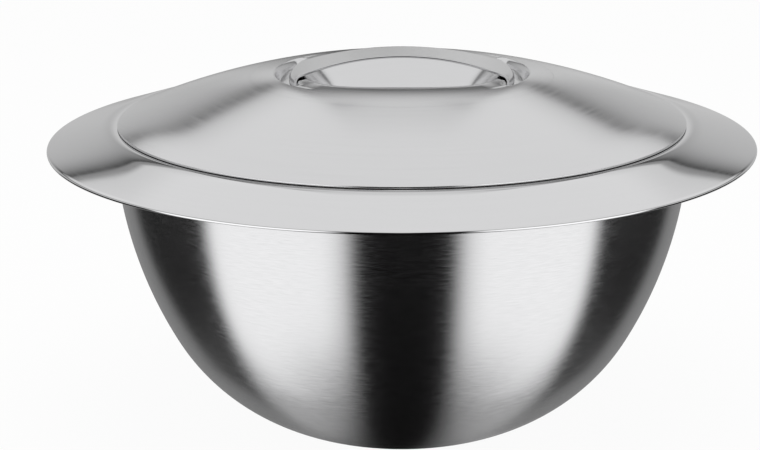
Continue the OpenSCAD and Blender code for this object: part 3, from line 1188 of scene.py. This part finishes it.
    def build(self, sheet: TurnedSheet, finishes: Finishes) -> None:
        """Makes the lid's pieces and dresses the foam.

        Args:
            sheet: the tree that turns a section.
            finishes: the finishes.
        """
        settle(sheet.turn("lid_dome_skin", self.dome_section(), finishes.buffed),
               Body.LID, "polished_lid", "lid_dome")
        settle(self.pan(finishes.buffed), Body.LID, "polished_lid", "handle_pan")
        settle(self.strap(finishes.buffed), Body.LID, "polished_lid", "handle_strap")
        settle(sheet.turn("lid_inner_skin", self.liner_section(), finishes.satin),
               Body.LID, "satin_liner", "lid_liner")
        settle(sheet.turn("silicone_seal_ring", self.seal_section(), finishes.silicone, turns=240),
               Body.LID, "seal_silicone", "lid_seal")
        repaint("lid_insulation", finishes.foam)


# The studio


@dataclass(frozen=True)
class Card:
    """A light or dark studio card, as the bowl sees it.

    Azimuth is counted from the camera to either side and elevation from the horizon, both in
    degrees. The card covers what lies between its ends, each with a blurred edge, and None
    stands for a side on which it has no end.
    """

    light: float
    azimuth: tuple[float | None, float | None] = (None, None)
    elevation: tuple[float | None, float | None] = (None, None)
    azimuth_blur: float = 3.0
    elevation_blur: float = 3.0


class Sky:
    """The world's nodes: where a ray points, and the lights that are laid over each other there."""

    def __init__(self, tree: bpy.types.NodeTree) -> None:
        """Works out where a ray points.

        Args:
            tree: the world's empty node tree.
        """
        self.tree = tree
        way = add_node(tree, "ShaderNodeTexCoord").outputs["Generated"]
        unit = add_node(tree, "ShaderNodeVectorMath", {0: way}, operation="NORMALIZE").outputs[0]
        parts = add_node(tree, "ShaderNodeSeparateXYZ", {0: unit}).outputs
        self.x, self.y, self.z = parts["X"], parts["Y"], parts["Z"]
        self.aside = add_node(tree, "ShaderNodeMath", {0: self.x}, operation="ABSOLUTE").outputs[0]
        # The camera stands at -Y, where the azimuth is 0
        front = add_node(tree, "ShaderNodeMath", {0: self.y, 1: -1.0}, operation="MULTIPLY").outputs[0]
        turn = add_node(tree, "ShaderNodeMath", {0: self.aside, 1: front},
                        operation="ARCTAN2").outputs[0]
        climb = add_node(tree, "ShaderNodeMath", {0: self.z}, operation="ARCSINE").outputs[0]
        self.azimuth, self.elevation = (
            add_node(tree, "ShaderNodeMath", {0: angle}, operation="DEGREES").outputs[0]
            for angle in (turn, climb))

    def share(self, *runs: Any) -> bpy.types.NodeSocket:
        """Multiplies shares of a light.

        Args:
            runs: each is a share, or a value with two bounds, between which the share grows
                smoothly from 0 at the first to 1 at the second.

        Returns:
            The product.
        """
        product = None
        for run in runs:
            if isinstance(run, tuple):
                value, start, end = run
                run = add_node(self.tree, "ShaderNodeMapRange",
                               {"Value": value, "From Min": start, "From Max": end},
                               interpolation_type="SMOOTHSTEP").outputs[0]
            product = run if product is None else add_node(
                self.tree, "ShaderNodeMath", {0: product, 1: run}, operation="MULTIPLY").outputs[0]
        return product

    def lay(self, under: Light, light: Light, *runs: Any) -> bpy.types.NodeSocket:
        """Lays a light over what is there.

        Args:
            under: the light that is there.
            light: the light laid over it.
            runs: where it lies, as share() takes it.

        Returns:
            The light of both.
        """
        # A Mix node's inputs 2 and 3 are its two numbers
        return add_node(self.tree, "ShaderNodeMix", {"Factor": self.share(*runs), 2: under, 3: light},
                        data_type="FLOAT").outputs[0]

    def hang(self, under: Light, cards: tuple[Card, ...]) -> Light:
        """Hangs cards before what is there, in their order.

        Args:
            under: the light that is there.
            cards: the cards.

        Returns:
            The light of all.
        """
        for card in cards:
            runs = []
            for value, ends, blur in ((self.azimuth, card.azimuth, card.azimuth_blur),
                                      (self.elevation, card.elevation, card.elevation_blur)):
                for end, side in zip(ends, (blur, -blur)):
                    if end is not None:
                        runs.append((value, end - side, end + side))
            under = self.lay(under, card.light, *runs)
        return under


@dataclass(frozen=True)
class Studio:
    """The camera, the floor, the lamp and the cards that the metal shows.

    Lengths are in millimetres and angles in degrees. A light is a strength of the sky's grey, and
    a place on the sky that is no angle is the sine of one.
    """

    camera_place: tuple[float, float, float] = (0.0, -962.4, 365.6)
    camera_down: float = 16.192
    camera_roll: float = -0.106
    camera_clip: tuple[float, float] = (0.05, 50.0)  # metres
    focal_pixels: float = 2025.5
    principal: tuple[float, float] = (402.09, 247.33)
    sensor: float = 36.0
    floor_size: float = 8000.0
    floor_z: float = -0.05  # just under the base, so that the two faces don't meet
    floor_colour: str = "#F4F4F4"
    backdrop_share: float = 0.94  # how much of the floor's colour is the plain backdrop's white
    sky_grey: float = 0.8  # with it a light of 1 is pale grey, and 1.25 would be white
    ambient: float = 0.78
    lamp_power: float = 9.0  # watts
    lamp_size: float = 1400.0
    lamp_place: tuple[float, float, float] = (0.0, -200.0, 1600.0)
    # A wall stands all round, and just below the overhead panel is a dark gap that fades downwards
    wall_light: float = 0.74
    gap_light: float = 0.02
    gap_reach: float = 0.07
    # The overhead panel's edge climbs from the horizon behind the bowl towards its sides
    panel_rise: float = 0.5
    panel_spread: float = 0.14
    panel_drop: float = 0.11  # how much lower it is again further aside
    panel_drop_aside: tuple[float, float] = (0.305, 0.35)
    # The panel is dim in a thin line at its edge, and each lighter part starts and is full at
    # these distances above it
    line_light: float = 0.42
    line_half_width: float = 0.006
    line_end_azimuth: tuple[float, float] = (171.0, 178.0)
    panel_edge_light: float = 0.98
    panel_edge_span: tuple[float, float] = (0.018, 0.045)
    panel_light: float = 1.17
    panel_span: tuple[float, float] = (0.03, 0.17)
    # Straight behind the bowl the wall is light, with a dim band, up to the panel's edge there
    behind_azimuth: tuple[float, float] = (168.0, 173.0)
    behind_top: float = 32.0
    behind_slope: float = 0.01
    low_wall_light: float = 0.92
    high_wall_light: float = 1.02
    high_wall_elevation: tuple[float, float] = (19.0, 25.0)
    dim_light: float = 0.03
    dim_foot: tuple[float, float] = (15.5, 18.0)
    dim_fade: tuple[float, float] = (32.0, 18.0)
    cards: tuple[Card, ...] = (
        Card(0.66, elevation=(None, -12.0), elevation_blur=4.0),
        Card(0.6, elevation=(None, -72.0), elevation_blur=8.0),
        Card(1.87, azimuth=(None, 105.0), elevation=(-62.0, 0.0), azimuth_blur=8.0,
             elevation_blur=11.0),
    )
    # A dark wall stands on either side, behind the bowl, and its ends are paler
    side_dark: float = 0.03
    side_start: float = 0.845
    side_blur: float = 0.09
    side_top: float = -4.0
    side_top_blur: float = 3.0
    side_cards: tuple[Card, ...] = (
        Card(0.09, azimuth=(112.0, None), elevation=(-60.0, -38.0), azimuth_blur=10.0,
             elevation_blur=5.0),
        Card(0.36, azimuth=(138.0, None), elevation=(-50.0, -10.0), azimuth_blur=6.0,
             elevation_blur=6.0),
        Card(0.74, azimuth=(138.0, None), elevation=(-12.0, None)),
        Card(0.66, azimuth=(170.0, None)),
    )
    # A dark strip runs from under the camera below the bowl. It has its half width straight
    # below, is wider in front by the taper and narrower behind, and leans a little to one side
    strip_dark: float = 0.008
    strip_half_width: float = 0.205
    strip_taper: float = 0.158
    strip_lean: float = 0.02
    strip_blur: float = 0.07
    strip_top: float = 8.0
    strip_top_blur: float = 4.0
    strip_shade: float = 0.3
    strip_shade_width: float = 0.18

    def camera(self) -> None:
        """Sets the camera at the photograph's viewing angle."""
        data = bpy.data.cameras.new("camera")
        data.sensor_width = self.sensor
        data.lens = self.focal_pixels / FRAME_WIDTH * self.sensor
        data.shift_x = (FRAME_WIDTH / 2 - self.principal[0]) / FRAME_WIDTH
        data.shift_y = (self.principal[1] - FRAME_HEIGHT / 2) / FRAME_WIDTH
        data.clip_start, data.clip_end = self.camera_clip
        obj = bpy.data.objects.new("camera", data)
        bpy.context.scene.collection.objects.link(obj)
        obj.location = [c * MM for c in self.camera_place]
        obj.rotation_euler = (math.radians(90 - self.camera_down), 0.0, 0.0)
        obj.rotation_euler.rotate_axis("Z", math.radians(self.camera_roll))
        bpy.context.scene.camera = obj

    def floor(self) -> None:
        """Lays a plain pale floor that keeps the bowl's shadow."""
        half = self.floor_size / 2
        corners = np.array([[x * half, y * half, self.floor_z]
                            for x, y in ((-1, -1), (1, -1), (1, 1), (-1, 1))])
        obj = new_object("floor", corners, [(0, 1, 2, 3)])
        material, tree, output = new_material("plain_pale_floor")
        paint = add_node(tree, "ShaderNodeBsdfDiffuse", {"Color": linear(self.floor_colour)})
        white = add_node(tree, "ShaderNodeEmission", {"Strength": 1.0})
        eye = add_node(tree, "ShaderNodeLightPath").outputs["Is Camera Ray"]
        share = add_node(tree, "ShaderNodeMath", {0: eye, 1: self.backdrop_share},
                         operation="MULTIPLY").outputs[0]
        mixed = add_node(tree, "ShaderNodeMixShader",
                         {0: share, 1: paint.outputs[0], 2: white.outputs[0]})
        tree.links.new(mixed.outputs[0], output.inputs["Surface"])
        obj.data.materials.append(material)
        obj.visible_glossy = False

    def lamp(self) -> None:
        """Hangs one large soft lamp overhead."""
        data = bpy.data.lights.new("overhead_softbox", "AREA")
        data.energy = self.lamp_power
        data.size = self.lamp_size * MM
        obj = bpy.data.objects.new("overhead_softbox", data)
        obj.location = [c * MM for c in self.lamp_place]
        obj.visible_glossy = False
        obj.visible_camera = False
        bpy.context.scene.collection.objects.link(obj)

    def below_panel(self, sky: Sky) -> bpy.types.NodeSocket:
        """Works out how far a ray points below the overhead panel's edge.

        Args:
            sky: the world's nodes.

        Returns:
            The distance, below 0 on the panel.
        """
        tree = sky.tree
        spread = add_node(tree, "ShaderNodeMath", {0: sky.aside, 1: -self.panel_spread},
                          operation="DIVIDE").outputs[0]
        level = add_node(tree, "ShaderNodeMath", {0: spread}, operation="EXPONENT").outputs[0]
        edge = add_node(tree, "ShaderNodeMath",
                        {0: level, 1: -self.panel_rise, 2: self.panel_rise},
                        operation="MULTIPLY_ADD").outputs[0]
        past = sky.share((sky.aside, *self.panel_drop_aside))
        drop = add_node(tree, "ShaderNodeMath", {0: past, 1: self.panel_drop},
                        operation="MULTIPLY").outputs[0]
        edge = add_node(tree, "ShaderNodeMath", {0: edge, 1: drop}, operation="SUBTRACT").outputs[0]
        return add_node(tree, "ShaderNodeMath", {0: edge, 1: sky.z}, operation="SUBTRACT").outputs[0]

    def wall(self, sky: Sky, below: bpy.types.NodeSocket,
             behind: bpy.types.NodeSocket) -> bpy.types.NodeSocket:
        """Paints the wall all round, with its dark gap and its light part behind the bowl.

        Args:
            sky: the world's nodes.
            below: how far a ray points below the panel's edge.
            behind: the share of the part behind the bowl.

        Returns:
            The light.
        """
        tree = sky.tree
        depth = add_node(tree, "ShaderNodeMath", {0: below, 1: 0.0}, operation="MAXIMUM").outputs[0]
        depth = add_node(tree, "ShaderNodeMath", {0: depth, 1: -self.gap_reach},
                         operation="DIVIDE").outputs[0]
        fade = add_node(tree, "ShaderNodeMath", {0: depth}, operation="EXPONENT").outputs[0]
        light = sky.lay(self.wall_light, self.gap_light, fade)
        back = sky.lay(self.low_wall_light, self.high_wall_light,
                       (sky.elevation, *self.high_wall_elevation))
        back = sky.lay(back, self.dim_light, (sky.elevation, *self.dim_foot),
                       (sky.elevation, *self.dim_fade))
        return sky.lay(light, back, behind)

    def sides(self, sky: Sky, light: bpy.types.NodeSocket) -> bpy.types.NodeSocket:
        """Stands the dark walls on either side.

        Args:
            sky: the world's nodes.
            light: the light that is there.

        Returns:
            The light of both.
        """
        # Highest halfway between straight aside and straight behind
        far = add_node(sky.tree, "ShaderNodeMath", {0: sky.aside, 1: sky.y},
                       operation="ADD").outputs[0]
        start, blur = self.side_start, self.side_blur
        top, top_blur = self.side_top, self.side_top_blur
        return sky.lay(light, sky.hang(self.side_dark, self.side_cards),
                       (far, start - blur, start + blur),
                       (sky.elevation, top + top_blur, top - top_blur))

    def panel(self, sky: Sky, light: bpy.types.NodeSocket, below: bpy.types.NodeSocket,
              behind: bpy.types.NodeSocket) -> bpy.types.NodeSocket:
        """Hangs the overhead panel, with the thin line at its edge.

        Args:
            sky: the world's nodes.
            light: the light that is there.
            below: how far a ray points below the panel's edge.
            behind: the share of the part behind the bowl.

        Returns:
            The light of both.
        """
        tree = sky.tree
        # Behind the bowl the panel ends no lower than behind_top, whatever its edge says.
        # Elsewhere the limit is taken so much lower that it has no effect
        lower = 2.0
        limit = add_node(tree, "ShaderNodeMath", {0: behind, 1: lower, 2: -lower},
                         operation="MULTIPLY_ADD").outputs[0]
        slope = add_node(tree, "ShaderNodeMath",
                         {0: sky.elevation, 1: -self.behind_slope,
                          2: self.behind_slope * self.behind_top},
                         operation="MULTIPLY_ADD").outputs[0]
        limit = add_node(tree, "ShaderNodeMath", {0: limit, 1: slope}, operation="ADD").outputs[0]
        below = add_node(tree, "ShaderNodeMath", {0: below, 1: limit}, operation="MAXIMUM").outputs[0]
        line = sky.lay(self.line_light, self.high_wall_light, (sky.azimuth, *self.line_end_azimuth))
        light = sky.lay(light, line, (below, self.line_half_width, -self.line_half_width))
        light = sky.lay(light, self.panel_edge_light, (below, *(-s for s in self.panel_edge_span)))
        return sky.lay(light, self.panel_light, (below, *(-s for s in self.panel_span)))

    def strip(self, sky: Sky, light: bpy.types.NodeSocket) -> bpy.types.NodeSocket:
        """Lays the dark strip under the camera, with a soft shade to either side of it.

        Args:
            sky: the world's nodes.
            light: the light that is there.

        Returns:
            The light of both.
        """
        tree = sky.tree
        reach = add_node(tree, "ShaderNodeMath",
                         {0: sky.y, 1: -self.strip_taper, 2: self.strip_half_width},
                         operation="MULTIPLY_ADD").outputs[0]
        off = add_node(tree, "ShaderNodeMath", {0: sky.y, 1: self.strip_lean, 2: sky.x},
                       operation="MULTIPLY_ADD").outputs[0]
        off = add_node(tree, "ShaderNodeMath", {0: off}, operation="ABSOLUTE").outputs[0]
        off = add_node(tree, "ShaderNodeMath", {0: off, 1: reach}, operation="SUBTRACT").outputs[0]
        front = sky.share((sky.elevation, self.strip_top + self.strip_top_blur,
                           self.strip_top - self.strip_top_blur))
        shade = sky.share((off, self.strip_shade_width, 0.0))
        shade = add_node(tree, "ShaderNodeMath", {0: shade, 1: self.strip_shade},
                         operation="MULTIPLY").outputs[0]
        light = sky.lay(light, 0.0, shade, front)
        return sky.lay(light, self.strip_dark, (off, self.strip_blur, -self.strip_blur), front)

    def world(self) -> None:
        """Paints the surroundings: pale grey to the eye, plain to matt things, cards to the metal."""
        world = bpy.data.worlds.new("studio")
        bpy.context.scene.world = world
        world.use_nodes = True
        tree = world.node_tree
        tree.nodes.clear()
        sky = Sky(tree)
        below = self.below_panel(sky)
        behind = sky.share((sky.azimuth, *self.behind_azimuth))
        light = sky.hang(self.wall(sky, below, behind), self.cards)
        light = self.panel(sky, self.sides(sky, light), below, behind)
        light = self.strip(sky, light)
        rays = add_node(tree, "ShaderNodeLightPath").outputs
        metal = add_node(tree, "ShaderNodeMath",
                         {0: rays["Is Glossy Ray"], 1: rays["Is Transmission Ray"]},
                         operation="MAXIMUM").outputs[0]
        seen = sky.lay(sky.lay(self.ambient, light, metal), 1.0, rays["Is Camera Ray"])
        grey = (self.sky_grey, self.sky_grey, self.sky_grey, 1.0)
        surface = add_node(tree, "ShaderNodeBackground", {"Color": grey, "Strength": seen}).outputs[0]
        add_node(tree, "ShaderNodeOutputWorld", {"Surface": surface})

    def build(self) -> None:
        """Makes the studio."""
        self.camera()
        self.floor()
        self.lamp()
        self.world()
        bpy.context.scene.view_settings.view_transform = "Standard"
        log.info("studio ready")


def main() -> None:
    """Builds the studio and the object."""
    Studio().build()
    finishes = Finishes()
    sheet = TurnedSheet()
    bowl = Bowl()
    bowl.build(sheet, finishes)
    Lid(bowl).build(sheet, finishes)


if __name__ == "__main__":
    main()
